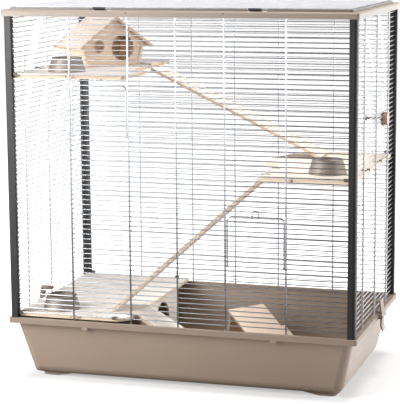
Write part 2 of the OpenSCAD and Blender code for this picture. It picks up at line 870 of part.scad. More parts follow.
module entry_ramp_rod() {
  at_entry_ramp() ramp_rod(entry_ramp_w);
}

module ramp_eyes() {
  color(steel) {
    at_upper_ramp() eye_pair(shelf_drop, ramp_w);
    at_lower_ramp() eye_pair(shelf_drop, ramp_w);
    at_entry_ramp() eye_pair(entry_drop, entry_ramp_w);
  }
}

// house in its own place: front on the X axis, depth along +Y, standing at z = 0
house_in = 147;
house_y = 37;
house_turn = 52;
roof_t = 6;
roof_over = 15;
eave = 14;
roof_slope = atan2(house_ridge_h - house_wall_h, house_w / 2 + house_lean);

module at_house() {
  translate([-board_x + house_in, house_y, upper_top]) rotate(house_turn) children();
}

module house_gable() {
  foot = house_w / 2;
  top = foot + house_lean;
  polygon([[-foot, 0], [foot, 0], [top, house_wall_h], [0, house_ridge_h], [-top, house_wall_h]]);
}

module house_front() {
  door_u = 25;
  window_u = -40;
  color(wood) at_house() slab_y(0, house_t) difference() {
    house_gable();
    translate([door_u, house_wall_h - 9]) circle(d = house_door_d, $fn = round_fn);
    translate([window_u, house_wall_h - 4]) circle(d = house_window_d, $fn = round_fn);
  }
}

module house_back() {
  color(wood) at_house() slab_y(house_depth - house_t, house_depth) house_gable();
}

module house_side() {
  foot = house_w / 2;
  top = foot + house_lean;
  rise = house_t * tan(roof_slope);
  slab_y(house_t, house_depth - house_t) polygon([[foot - house_t, 0], [foot, 0], [top, house_wall_h],
    [top - house_t, house_wall_h + rise]]);
}

module house_right() {
  color(wood) at_house() house_side();
}

module house_left() {
  color(wood) at_house() mirror([1, 0, 0]) house_side();
}

// roof board lying on the right-hand slope of the gables
module house_roof_board() {
  span = (house_w / 2 + house_lean + eave) / cos(roof_slope);
  miter = roof_t * tan(roof_slope);
  translate([0, 0, house_ridge_h]) rotate([0, roof_slope, 0])
    slab_y(-roof_over, house_depth + roof_over)
    polygon([[0, 0], [span, 0], [span, roof_t], [-miter, roof_t]]);
}

module house_roof_right() {
  color(wood) at_house() house_roof_board();
}

module house_roof_left() {
  color(wood) at_house() mirror([1, 0, 0]) house_roof_board();
}

module house_trim() {
  trim_w = 8;
  trim_t = 2;
  foot = house_w / 2;
  color(wood) at_house() for (m = [0, 1]) mirror([m, 0, 0]) slab_y(-trim_t, 0) polygon([[foot - trim_w, 0.5],
    [foot, 0.5], [foot + house_lean * 0.85, house_wall_h * 0.85],
    [foot + house_lean * 0.85 - trim_w, house_wall_h * 0.85]]);
}

// distance of each bowl from the board's end, and its place along Y
upper_bowl_at = [97, -134];
middle_bowl_at = [75, -126];
lower_bowl_at = [84, -162];

// steel bowl, wider at its foot, with a rolled rim
module bowl() {
  foot = bowl_d / 2;
  rim = bowl_rim_d / 2;
  well = rim - 8;
  roll = 1.6;
  color(steel) rotate_extrude($fn = round_fn) {
    polygon([[0, 0], [foot, 0], [foot, 2], [rim + 0.6, bowl_h - roll], [rim - 1.4, bowl_h - roll],
      [well, 8], [0, 6.5]]);
    translate([rim - 0.4, bowl_h - roll]) circle(r = roll, $fn = wire_fn);
  }
}

module upper_bowl() {
  translate([-board_x + upper_bowl_at[0], upper_bowl_at[1], upper_top]) bowl();
}

module middle_bowl() {
  translate([board_x - middle_bowl_at[0], middle_bowl_at[1], middle_top]) bowl();
}

module lower_bowl() {
  translate([-board_x + lower_bowl_at[0], lower_bowl_at[1], platform_top]) bowl();
}

// wheel parts in their own place: axle along the X axis, wall at x = 0, inside of the cage at -X
module at_wheel() {
  translate([plate_x, wheel_y, wheel_z]) children();
}

module wheel() {
  back = -plate_t - 2;
  front = back - wheel_w;
  wall_t = 2;
  hub_r = axle_d / 2 + 3.5;
  lip = 7;
  ribs = 24;
  color("#dfe6ea") at_wheel() difference() {
    union() {
      wire_x_round(wheel_d, back - wall_t, back);
      difference() {
        wire_x_round(wheel_d, front, back);
        wire_x_round(wheel_d - 2 * wall_t, front - 1, back - 1);
      }
      difference() {
        wire_x_round(wheel_d - 1, front, front + wall_t);
        wire_x_round(wheel_d - 2 * lip, front - 1, back);
      }
      wire_x_round(2 * hub_r, front + 1, back + 1);
      for (i = [0 : ribs - 1]) rotate([i * 360 / ribs, 0, 0])
        translate([front + 1, -0.9, wheel_d / 2 - wall_t - 1.5]) cube([wheel_w - 1.5, 1.8, 2.2]);
      for (i = [0 : 5]) rotate([i * 60, 0, 0]) translate([back - wall_t - 2, -1, hub_r - 1])
        cube([2.5, 2, wheel_d / 2 - hub_r]);
    }
    wire_x_round(axle_d + 2 * run_gap, front - 1, back + 2);
  }
}

module wire_x_round(d, x1, x2) {
  translate([x1, 0, 0]) rotate([0, 90, 0]) cylinder(d = d, h = x2 - x1, $fn = round_fn);
}

module wheel_axle() {
  plate_d = 34;
  tip = -plate_t - wheel_w - 4;
  color("#8a6a52") at_wheel() union() {
    wire_x_round(plate_d, -plate_t, 0);
    wire_x_round(axle_d, tip, 0);
    wire_x_round(axle_d, -0.5, row_d + 8);
  }
}

module wheel_knob() {
  knob_d = 30;
  knob_t = 9;
  grips = 8;
  color(taupe) at_wheel() translate([row_d, 0, 0]) difference() {
    wire_x_round(knob_d, 0, knob_t);
    wire_x_round(axle_d, -1, knob_t + 1);
    for (i = [0 : grips - 1]) rotate([i * 360 / grips, 0, 0]) translate([0, 0, knob_d / 2 + 2])
      wire_x_round(7, 2, knob_t + 1);
  }
}

module axle_cap() {
  tip = -plate_t - wheel_w - 4;
  cap_d = 12;
  color(charcoal) at_wheel() difference() {
    wire_x_round(cap_d, tip - 2, tip + 1.2);
    wire_x_round(axle_d, tip, tip + 2);
  }
}

// loose hide in its own place: top edge on the Y axis, board falling along +X, floor at z = 0
hide_t = 6;
hide_at = [56, 119];
hide_turn = -38.7;

module at_hide() {
  translate([hide_at[0], hide_at[1], tray_floor]) rotate(hide_turn) children();
}

module loose_hide_top() {
  long = (hide_h - hide_t) / sin(hide_slope);
  shoulder = 81;
  wide = hide_w / 2 + 12;
  color(wood) at_hide() translate([0, 0, hide_h - hide_t * cos(hide_slope)]) rotate([0, hide_slope, 0])
    linear_extrude(height = hide_t) polygon([[0, -hide_w / 2], [shoulder, -hide_w / 2], [shoulder, -wide],
      [long, -wide], [long, wide], [shoulder, wide], [shoulder, hide_w / 2], [0, hide_w / 2]]);
}

module loose_hide_prop() {
  lean = 24;
  top = hide_h - hide_t * cos(hide_slope);
  color(wood) at_hide() slab_y(-hide_w / 2 + 6, hide_w / 2 - 6) polygon([[-lean, 0], [-lean + hide_t, 0],
    [8, top - 8 * tan(hide_slope)], [2, top - 2 * tan(hide_slope)]]);
}

tray();
front_wall();
back_wall();
left_wall();
right_wall();
front_left_post();
front_right_post();
back_left_post();
back_right_post();
top_frame();
roof_panel();
roof_hinges();
left_roof_clip();
right_roof_clip();
left_clip_tip();
right_clip_tip();
upper_door();
lower_door();
upper_door_latch();
lower_door_latch();
left_tray_clip();
right_tray_clip();
tray_clip_pins();
upper_shelf();
middle_shelf();
lower_platform();
shelf_hooks();
shelf_nails();
hide_panel();
upper_ramp_board();
upper_ramp_rungs();
upper_ramp_rod();
lower_ramp_board();
lower_ramp_rungs();
lower_ramp_rod();
entry_ramp_board();
entry_ramp_rod();
ramp_eyes();
house_front();
house_back();
house_left();
house_right();
house_roof_left();
house_roof_right();
house_trim();
upper_bowl();
middle_bowl();
lower_bowl();
wheel();
wheel_axle();
wheel_knob();
axle_cap();
loose_hide_top();
loose_hide_prop();
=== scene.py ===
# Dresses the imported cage: finishes for plastic, wire, boards and steel, small studs, studio and camera
import json
import math
import bmesh
import bpy
from mathutils import Matrix, Vector


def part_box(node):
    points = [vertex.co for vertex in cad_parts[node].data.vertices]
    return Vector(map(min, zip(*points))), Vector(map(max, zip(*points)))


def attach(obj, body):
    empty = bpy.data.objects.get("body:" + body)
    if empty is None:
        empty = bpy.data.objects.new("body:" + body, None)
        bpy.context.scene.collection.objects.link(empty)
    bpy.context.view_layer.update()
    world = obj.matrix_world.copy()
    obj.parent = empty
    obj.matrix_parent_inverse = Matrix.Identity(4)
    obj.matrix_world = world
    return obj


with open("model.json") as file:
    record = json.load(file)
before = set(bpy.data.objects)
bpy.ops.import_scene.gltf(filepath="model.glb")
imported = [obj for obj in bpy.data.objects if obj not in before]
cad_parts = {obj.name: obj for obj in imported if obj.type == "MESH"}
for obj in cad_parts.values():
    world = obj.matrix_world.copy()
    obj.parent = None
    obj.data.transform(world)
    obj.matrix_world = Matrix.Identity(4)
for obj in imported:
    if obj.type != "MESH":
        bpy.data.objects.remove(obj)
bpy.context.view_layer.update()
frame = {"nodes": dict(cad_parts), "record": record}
nodes = frame["nodes"]
print("frame loaded:", len(nodes), "nodes")


# shader helpers

def addNode(tree, kind, **values):
    node = tree.nodes.new("ShaderNode" + kind)
    for label, value in values.items():
        node.inputs[label.replace("_", " ")].default_value = value
    return node


def plug(tree, socket, value):      # links a socket, or sets a plain value
    if hasattr(value, "links"):
        tree.links.new(value, socket)
    else:
        socket.default_value = value


def mathNode(tree, operation, first, second=None):
    node = tree.nodes.new("ShaderNodeMath")
    node.operation = operation
    plug(tree, node.inputs[0], first)
    if second is not None:
        plug(tree, node.inputs[1], second)
    return node.outputs[0]


def vectorNode(tree, operation, *values):
    node = tree.nodes.new("ShaderNodeVectorMath")
    node.operation = operation
    for socket, value in zip(node.inputs, values):
        plug(tree, socket, value)
    return node.outputs


def mixColor(tree, factor, first, second):
    node = tree.nodes.new("ShaderNodeMix")
    node.data_type = "RGBA"
    for socket, value in zip((node.inputs[0], node.inputs[6], node.inputs[7]), (factor, first, second)):
        plug(tree, socket, value)
    return node.outputs[2]


def spread(tree, value, low, high):    # remaps 0..1 to low..high
    node = addNode(tree, "MapRange", To_Min=low, To_Max=high)
    tree.links.new(value, node.inputs["Value"])
    return node.outputs["Result"]


def step(tree, value, low, high):      # soft step from low to high
    node = addNode(tree, "MapRange", From_Min=low, From_Max=high)
    node.interpolation_type = "SMOOTHSTEP"
    tree.links.new(value, node.inputs["Value"])
    return node.outputs["Result"]


def splitAxes(tree, vector):
    node = tree.nodes.new("ShaderNodeSeparateXYZ")
    tree.links.new(vector, node.inputs[0])
    return node.outputs


def stretched(tree, vector, scale):
    node = addNode(tree, "Mapping", Scale=scale)
    tree.links.new(vector, node.inputs["Vector"])
    return node.outputs["Vector"]


def noise(tree, vector, scale=1.0, detail=2.0, rough=0.5):
    node = addNode(tree, "TexNoise", Scale=scale, Detail=detail, Roughness=rough)
    tree.links.new(vector, node.inputs["Vector"])
    return node.outputs


def newGroup(name, inputs, outputs):
    group = bpy.data.node_groups.new(name, "ShaderNodeTree")
    for label, kind in inputs:
        group.interface.new_socket(label, in_out="INPUT", socket_type="NodeSocket" + kind)
    for label, kind in outputs:
        group.interface.new_socket(label, in_out="OUTPUT", socket_type="NodeSocket" + kind)
    start = group.nodes.new("NodeGroupInput")
    end = group.nodes.new("NodeGroupOutput")
    return group, start.outputs, end.inputs


def useGroup(tree, group, **values):
    node = tree.nodes.new("ShaderNodeGroup")
    node.node_tree = group
    for label, value in values.items():
        plug(tree, node.inputs[label], value)
    return node.outputs


def rgb(r, g, b):
    return (r, g, b, 1.0)


# growth rings, fibres and pale sanded faces of a sawn board; the vector runs along the grain in X
grainValues = {
    "swayStretch": (1.4, 7.0, 7.0), "swayBy": (0.0, 0.03, 0.03),      # slow bend of the rings
    "rings": 62.0, "ringBend": 1.2, "ringDetail": 2.0, "lateWood": (0.35, 1.0), "ringHeight": 0.35,
    "fibreStretch": (16.0, 620.0, 620.0), "fibres": (0.48, 0.75), "fibreShare": 0.22,
    "driftStretch": (2.0, 16.0, 16.0), "driftShare": 0.2,
    "sanded": (0.45, 0.85), "sawnShare": 0.8,                         # flat faces and sawn edges
    "roughness": (0.48, 0.72),
}


def makeBoardGrain():
    group, given, put = newGroup(
        "boardGrain",
        [("Vector", "Vector"), ("Normal", "Vector"), ("Face", "Color"), ("Late", "Color"),
         ("Edge", "Color"), ("Figure", "Float")],
        [("Color", "Color"), ("Roughness", "Float"), ("Height", "Float")])
    sway = noise(group, stretched(group, given["Vector"], grainValues["swayStretch"]))
    swayed = vectorNode(group, "MULTIPLY_ADD", sway["Color"], grainValues["swayBy"], given["Vector"])
    rings = addNode(group, "TexWave", Scale=grainValues["rings"], Distortion=grainValues["ringBend"],
                    Detail=grainValues["ringDetail"], Detail_Scale=grainValues["ringDetail"])
    rings.wave_type = "RINGS"
    rings.rings_direction = "X"
    rings.wave_profile = "SAW"
    group.links.new(swayed[0], rings.inputs["Vector"])
    late = step(group, rings.outputs["Fac"], *grainValues["lateWood"])
    alongFibre = stretched(group, given["Vector"], grainValues["fibreStretch"])
    fibre = noise(group, alongFibre, detail=3.0, rough=0.6)["Fac"]
    fibres = step(group, fibre, *grainValues["fibres"])
    drift = noise(group, stretched(group, given["Vector"], grainValues["driftStretch"]), detail=1.0)["Fac"]
    figure = mathNode(group, "MULTIPLY", late, given["Figure"])
    figure = mathNode(group, "ADD", figure, mathNode(group, "MULTIPLY", fibres, grainValues["fibreShare"]))
    figure = mathNode(group, "ADD", figure, mathNode(group, "MULTIPLY", drift, grainValues["driftShare"]))
    face = mixColor(group, figure, given["Face"], given["Late"])
    sawnFigure = mathNode(group, "MULTIPLY", figure, grainValues["sawnShare"])
    sawn = mixColor(group, sawnFigure, given["Edge"], given["Late"])
    facing = mathNode(group, "ABSOLUTE", splitAxes(group, given["Normal"])["Z"])
    sanded = step(group, facing, *grainValues["sanded"])
    height = mathNode(group, "ADD", mathNode(group, "MULTIPLY", late, grainValues["ringHeight"]), fibre)
    group.links.new(mixColor(group, sanded, sawn, face), put["Color"])
    group.links.new(spread(group, fibre, *grainValues["roughness"]), put["Roughness"])
    group.links.new(height, put["Height"])
    return group


# spark-textured moulded plastic with slow colour drift and faint rubbed streaks
skinValues = {
    "drift": 5.0, "driftShare": 0.6, "speck": 900.0, "speckShare": 0.4, "deepen": (0.35, 0.7),
    "rubStretch": (9.0, 9.0, 130.0), "rubbed": (0.52, 0.7), "rubGloss": 0.08, "speckDull": 0.1,
}


def makeMouldedSkin():
    group, given, put = newGroup(
        "mouldedSkin",
        [("Vector", "Vector"), ("Tone", "Color"), ("Deep", "Color"), ("Grain", "Float"),
         ("Gloss", "Float")],
        [("Color", "Color"), ("Roughness", "Float"), ("Height", "Float")])
    drift = noise(group, given["Vector"], skinValues["drift"], detail=3.0)["Fac"]
    speck = noise(group, given["Vector"], skinValues["speck"], rough=0.6)["Fac"]
    rub = noise(group, stretched(group, given["Vector"], skinValues["rubStretch"]), detail=3.0)["Fac"]
    shade = mathNode(group, "ADD", mathNode(group, "MULTIPLY", drift, skinValues["driftShare"]),
                     mathNode(group, "MULTIPLY", speck, skinValues["speckShare"]))
    deepen = step(group, shade, *skinValues["deepen"])
    rubbed = mathNode(group, "MULTIPLY", step(group, rub, *skinValues["rubbed"]), skinValues["rubGloss"])
    dull = mathNode(group, "MULTIPLY", speck, skinValues["speckDull"])
    dull = mathNode(group, "ADD", given["Gloss"], dull)
    group.links.new(mixColor(group, deepen, given["Tone"], given["Deep"]), put["Color"])
    group.links.new(mathNode(group, "SUBTRACT", dull, rubbed), put["Roughness"])
    group.links.new(mathNode(group, "MULTIPLY", speck, given["Grain"]), put["Height"])
    return group


# drawn or spun bright metal: fine lines along one axis and a cloudy tarnish
metalValues = {"cloud": 26.0, "cloudShare": 0.65, "lineShare": 0.35, "tarnish": (0.36, 0.64),
               "tarnishDull": 0.22}


def makeDrawnMetal():
    group, given, put = newGroup(
        "drawnMetal",
        [("Vector", "Vector"), ("Bright", "Color"), ("Dull", "Color"), ("Lines", "Vector"),
         ("Gloss", "Float")],
        [("Color", "Color"), ("Roughness", "Float"), ("Height", "Float")])
    along = vectorNode(group, "MULTIPLY", given["Vector"], given["Lines"])
    lines = noise(group, along[0], detail=3.0, rough=0.65)["Fac"]
    cloud = noise(group, given["Vector"], metalValues["cloud"], detail=3.0)["Fac"]
    tarnish = mathNode(group, "ADD", mathNode(group, "MULTIPLY", cloud, metalValues["cloudShare"]),
                       mathNode(group, "MULTIPLY", lines, metalValues["lineShare"]))
    dulled = step(group, tarnish, *metalValues["tarnish"])
    rougher = mathNode(group, "MULTIPLY", tarnish, metalValues["tarnishDull"])
    group.links.new(mixColor(group, dulled, given["Bright"], given["Dull"]), put["Color"])
    group.links.new(mathNode(group, "ADD", given["Gloss"], rougher), put["Roughness"])
    group.links.new(lines, put["Height"])
    return group


# pale dust that settles where a surface faces up
dustValues = {"patch": 38.0, "patches": (0.35, 0.75), "level": (0.3, 0.95)}


def makeSettledDust():
    group, given, put = newGroup(
        "settledDust",
        [("Vector", "Vector"), ("Color", "Color"), ("Dust", "Color"), ("Amount", "Float")],
        [("Color", "Color")])
    surface = group.nodes.new("ShaderNodeNewGeometry").outputs
    level = step(group, splitAxes(group, surface["Normal"])["Z"], *dustValues["level"])
    patch = noise(group, given["Vector"], dustValues["patch"], detail=4.0, rough=0.6)["Fac"]
    mask = mathNode(group, "MULTIPLY", level, step(group, patch, *dustValues["patches"]))
    mask = mathNode(group, "MULTIPLY", mask, given["Amount"])
    group.links.new(mixColor(group, mask, given["Color"], given["Dust"]), put["Color"])
    return group


boardGrain = makeBoardGrain()
mouldedSkin = makeMouldedSkin()
drawnMetal = makeDrawnMetal()
settledDust = makeSettledDust()
print("shader groups ready")


# materials

relief = {"plastic": (0.12, 0.0004), "board": (0.25, 0.0004), "metalDeep": 0.0003}      # bump strength, depth


def newFinish(name):
    material = bpy.data.materials.new(name)
    material.use_nodes = True
    tree = material.node_tree
    coords = tree.nodes.new("ShaderNodeTexCoord")
    return material, tree, tree.nodes["Principled BSDF"], coords.outputs


def addBump(tree, shader, height, strength, distance):
    bump = addNode(tree, "Bump", Strength=strength, Distance=distance)
    tree.links.new(height, bump.inputs["Height"])
    tree.links.new(bump.outputs["Normal"], shader.inputs["Normal"])


def shadeMetal(tree, shader, metal, bump):
    tree.links.new(metal["Color"], shader.inputs["Base Color"])
    tree.links.new(metal["Roughness"], shader.inputs["Roughness"])
    addBump(tree, shader, metal["Height"], bump, relief["metalDeep"])


def metalFinish(name, look):
    material, tree, shader, coords = newFinish(name)
    metal = useGroup(tree, drawnMetal, Vector=coords["Object"], Bright=look["bright"], Dull=look["dull"],
                     Lines=look["lines"], Gloss=look["gloss"])
    shadeMetal(tree, shader, metal, look["bump"])
    shader.inputs["Metallic"].default_value = look["metal"]
    return material


# wire painted paler on the side that a direction points to: painted light on that side
def sideLitWire(name, outer, litLook, toward):
    material, tree, shader, coords = newFinish(name)
    facing = vectorNode(tree, "DOT_PRODUCT", coords["Normal"], toward)["Value"]
    coatAndLitSide = step(tree, facing, -litLook["blend"], litLook["blend"])
    metal = useGroup(tree, drawnMetal, Vector=coords["Object"],
                     Bright=mixColor(tree, coatAndLitSide, outer["bright"], litLook["bright"]),
                     Dull=mixColor(tree, coatAndLitSide, outer["dull"], litLook["dull"]),
                     Lines=outer["lines"], Gloss=outer["gloss"])
    shadeMetal(tree, shader, metal, outer["bump"])
    tree.links.new(spread(tree, coatAndLitSide, outer["metal"], litLook["metal"]), shader.inputs["Metallic"])
    return material


wireLook = {"bright": rgb(0.58, 0.60, 0.63), "dull": rgb(0.44, 0.46, 0.49), "lines": (160.0, 160.0, 160.0),
            "gloss": 0.08, "metal": 1.0, "bump": 0.05}
sideWireLook = {"bright": rgb(0.50, 0.50, 0.52), "dull": rgb(0.42, 0.42, 0.44),
                "lines": (160.0, 160.0, 160.0), "gloss": 0.24, "metal": 0.6, "bump": 0.05}
# paler looks for the lit sides of the lid, back and left wires: painted light
paleWireLook = {"bright": rgb(0.80, 0.80, 0.83), "dull": rgb(0.70, 0.70, 0.73), "metal": 0.5, "blend": 0.3}
faintWireLook = {"bright": rgb(0.68, 0.68, 0.72), "dull": rgb(0.57, 0.57, 0.61), "metal": 0.6, "blend": 0.3}
hardwareLook = {"bright": rgb(0.36, 0.35, 0.34), "dull": rgb(0.25, 0.24, 0.23),
                "lines": (300.0, 300.0, 300.0), "gloss": 0.28, "metal": 1.0, "bump": 0.08}
darkSteelLook = {"bright": rgb(0.17, 0.14, 0.12), "dull": rgb(0.10, 0.08, 0.07),
                 "lines": (300.0, 300.0, 300.0), "gloss": 0.42, "metal": 0.6, "bump": 0.08}
bowlLook = {"bright": rgb(0.34, 0.30, 0.263), "dull": rgb(0.275, 0.24, 0.21), "lines": (14.0, 14.0, 1500.0),
            "gloss": 0.46, "metal": 0.45, "bump": 0.12}


def plasticFinish(name, look):
    material, tree, shader, coords = newFinish(name)
    place = coords["Object"]
    tone, deep = look["tone"], look["deep"]
    if "lipOf" in look:      # the top of that node is painted a darker tone, as far down as the lip is deep
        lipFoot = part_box(look["lipOf"])[1].z - look["lipDeep"]
        lip = step(tree, splitAxes(tree, place)["Z"], lipFoot, lipFoot + look["lipBlend"])
        tone = mixColor(tree, lip, tone, look["darkLipTone"])
        deep = mixColor(tree, lip, deep, look["darkLipTone"])
    skin = useGroup(tree, mouldedSkin, Vector=place, Tone=tone, Deep=deep, Grain=look["grain"],
                    Gloss=look["gloss"])
    dust = useGroup(tree, settledDust, Vector=place, Color=skin["Color"], Dust=look["dust"],
                    Amount=look["dusty"])
    tree.links.new(dust["Color"], shader.inputs["Base Color"])
    tree.links.new(skin["Roughness"], shader.inputs["Roughness"])
    shader.inputs["IOR"].default_value = look["ior"]
    addBump(tree, shader, skin["Height"], *relief["plastic"])
    return material


# the tray's rim band is given a darker tone
trayLook = {"tone": rgb(0.345, 0.262, 0.200), "deep": rgb(0.315, 0.237, 0.180), "grain": 1.0, "gloss": 0.36,
            "ior": 1.49, "dust": rgb(0.62, 0.57, 0.52), "dusty": 0.18,
            "lipOf": "tray", "lipDeep": 0.0118, "lipBlend": 0.0008, "darkLipTone": rgb(0.262, 0.199, 0.152)}
# the frame's darker lip is painted shade on the ridge along its top
frameLook = {"tone": rgb(0.262, 0.211, 0.172), "deep": rgb(0.240, 0.193, 0.156), "grain": 1.0, "gloss": 0.36,
             "ior": 1.49, "dust": rgb(0.62, 0.57, 0.52), "dusty": 0.0,
             "lipOf": "top_frame", "lipDeep": 0.0048, "lipBlend": 0.0008, "darkLipTone": rgb(0.16, 0.135, 0.115)}
postLook = {"tone": rgb(0.025, 0.024, 0.024), "deep": rgb(0.019, 0.018, 0.019), "grain": 0.6, "gloss": 0.40,
            "ior": 1.40, "dust": rgb(0.25, 0.24, 0.23), "dusty": 0.2}
knobLook = {"tone": rgb(0.42, 0.28, 0.21), "deep": rgb(0.34, 0.225, 0.17), "grain": 0.6, "gloss": 0.38,
            "ior": 1.49, "dust": rgb(0.6, 0.55, 0.5), "dusty": 0.1}
axleLook = {"tone": rgb(0.26, 0.155, 0.10), "deep": rgb(0.21, 0.12, 0.08), "grain": 0.5, "gloss": 0.36,
            "ior": 1.49, "dust": rgb(0.5, 0.42, 0.36), "dusty": 0.1}


# see-through wheel: thin where it is looked through, denser along the rims
clearLook = {"tone": rgb(0.80, 0.84, 0.90), "deep": rgb(0.70, 0.75, 0.83), "hazeScale": 60.0,
             "roughness": (0.05, 0.16), "rim": 0.35, "cover": (0.05, 0.40)}


def clearFinish(name, look):
    material, tree, shader, coords = newFinish(name)
    haze = noise(tree, coords["Object"], look["hazeScale"], detail=3.0)["Fac"]
    tree.links.new(mixColor(tree, haze, look["tone"], look["deep"]), shader.inputs["Base Color"])
    tree.links.new(spread(tree, haze, *look["roughness"]), shader.inputs["Roughness"])
    rim = addNode(tree, "LayerWeight", Blend=look["rim"])
    tree.links.new(spread(tree, rim.outputs["Facing"], *look["cover"]), shader.inputs["Alpha"])
    return material


finishes = {
    "trayPlastic": plasticFinish("trayPlastic", trayLook),
    "postPlastic": plasticFinish("postPlastic", postLook),
    "knobPlastic": plasticFinish("knobPlastic", knobLook),
    "axlePlastic": plasticFinish("axlePlastic", axleLook),
    "framePlastic": plasticFinish("framePlastic", frameLook),
    "zincWire": metalFinish("zincWire", wireLook),
    "backWire": sideLitWire("backWire", wireLook, faintWireLook, (0, -1, 0)),
    "leftWire": sideLitWire("leftWire", wireLook, faintWireLook, (1, 0, 0)),
    "lidWire": sideLitWire("lidWire", wireLook, paleWireLook, (0, 0, 1)),
    "sideWire": metalFinish("sideWire", sideWireLook),
    "hardwareSteel": metalFinish("hardwareSteel", hardwareLook),
    "darkSteel": metalFinish("darkSteel", darkSteelLook),
    "bowlSteel": metalFinish("bowlSteel", bowlLook),
    "clearPlastic": clearFinish("clearPlastic", clearLook),
}

slotFinish = {"tray_plastic": "trayPlastic", "frame_plastic": "framePlastic", "post_plastic": "postPlastic",
              "wire": "zincWire", "hardware": "hardwareSteel", "bowl_steel": "bowlSteel",
              "clear_plastic": "clearPlastic", "axle_plastic": "axlePlastic", "knob_plastic": "knobPlastic"}
nodeFinish = {"back_wall": "backWire", "left_wall": "leftWire", "roof_panel": "lidWire",
              "right_wall": "sideWire", "shelf_hooks": "darkSteel", "shelf_nails": "darkSteel"}
print("plastic, wire and steel ready")


# boards: grain and thick are a board's own directions in the cage's frame
boardShine = 0.35


def woodFinish(name, grain, thick, shift, look):
    material, tree, shader, coords = newFinish(name)
    turn = Matrix((grain, thick.cross(grain), thick)).to_euler()
    turned = addNode(tree, "Mapping", Rotation=turn, Location=shift)
    tree.links.new(coords["Object"], turned.inputs["Vector"])
    normal = addNode(tree, "Mapping", Rotation=turn)
    normal.vector_type = "VECTOR"
    tree.links.new(coords["Normal"], normal.inputs["Vector"])
    wood = useGroup(tree, boardGrain, Vector=turned.outputs[0], Normal=normal.outputs[0], Face=look["face"],
                    Late=look["late"], Edge=look["edge"], Figure=look["figure"])
    tree.links.new(wood["Color"], shader.inputs["Base Color"])
    tree.links.new(wood["Roughness"], shader.inputs["Roughness"])
    shader.inputs["Specular IOR Level"].default_value = boardShine
    addBump(tree, shader, wood["Height"], *relief["board"])
    return material


boardLook = {"face": rgb(0.96, 0.91, 0.86), "late": rgb(0.89, 0.79, 0.67), "edge": rgb(0.92, 0.74, 0.55),
             "figure": 0.3}
# the upper and middle shelves are darker copies of the board wood: painted shade that offsets the stronger
# lamp light on them, while the pale board wood is painted light for the shaded lower platform
upperShelfShadedLook = {"face": rgb(0.48, 0.44, 0.42), "late": rgb(0.44, 0.385, 0.34), "edge": rgb(0.80, 0.60, 0.42),
             "figure": 0.3}
middleShelfShadedLook = {"face": rgb(0.78, 0.69, 0.61), "late": rgb(0.70, 0.59, 0.49), "edge": rgb(0.97, 0.79, 0.61),
              "figure": 0.3}
hideLook = {"face": rgb(0.88, 0.73, 0.61), "late": rgb(0.74, 0.55, 0.41), "edge": rgb(0.80, 0.60, 0.43),
            "figure": 0.3}
houseLook = {"face": rgb(0.93, 0.73, 0.56), "late": rgb(0.84, 0.62, 0.45), "edge": rgb(0.80, 0.60, 0.43),
             "figure": 0.25}
# the trim's sawn edges are dark brown: painted shadow in the gaps beside the strips
trimShadowEdgeLook = {**houseLook, "edge": rgb(0.42, 0.22, 0.12)}
roofLook = {"face": rgb(0.52, 0.435, 0.38), "late": rgb(0.45, 0.365, 0.305), "edge": rgb(0.76, 0.56, 0.40),
            "figure": 0.4}
# the ramps' sawn edges are darker than their faces: painted shade, darkest on the upper ramp
rampLook = {"face": rgb(0.80, 0.725, 0.66), "late": rgb(0.72, 0.63, 0.54), "edge": rgb(0.74, 0.58, 0.44),
            "figure": 0.2}
upperRampShadedLook = {**rampLook, "edge": rgb(0.66, 0.50, 0.36)}
rungLook = {"face": rgb(0.96, 0.94, 0.90), "late": rgb(0.90, 0.82, 0.72), "edge": rgb(0.94, 0.89, 0.82),
            "figure": 0.2}

boardLie = {"houseTurn": 52, "roofSlope": 35.2, "hideTurn": -38.7, "hideSlope": 29.5, "rampThick": 0.007}
xAxis, yAxis, zAxis = Vector((1, 0, 0)), Vector((0, 1, 0)), Vector((0, 0, 1))


def levelDirections(degrees):      # along a turned piece and to its left
    turn = math.radians(degrees)
    return Vector((math.cos(turn), math.sin(turn), 0)), Vector((-math.sin(turn), math.cos(turn), 0))


def rampDirections(node, falls):   # falls is 1 where the ramp goes down towards +X
    low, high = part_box(node)
    size = high - low
    slope = math.atan2(size.z - boardLie["rampThick"], size.x - boardLie["rampThick"])
    grain = Vector((math.cos(slope), 0, -falls * math.sin(slope)))
    return grain, Vector((falls * math.sin(slope), 0, math.cos(slope)))


houseAlong, houseDeep = levelDirections(boardLie["houseTurn"])      # along the gable wall, into the house
roofSlope = math.radians(boardLie["roofSlope"])
leftRoofFace, rightRoofFace = (
    houseAlong * (side * math.sin(roofSlope)) + zAxis * math.cos(roofSlope) for side in (-1, 1))
hideAlong, hideSide = levelDirections(boardLie["hideTurn"])
hideSlope = math.radians(boardLie["hideSlope"])
hideDown = hideAlong * math.cos(hideSlope) - zAxis * math.sin(hideSlope)
hideFace = hideAlong * math.sin(hideSlope) + zAxis * math.cos(hideSlope)
upperGrain, upperFace = rampDirections("upper_ramp_board", 1)
lowerGrain, lowerFace = rampDirections("lower_ramp_board", -1)
entryGrain, entryFace = rampDirections("entry_ramp_board", 1)

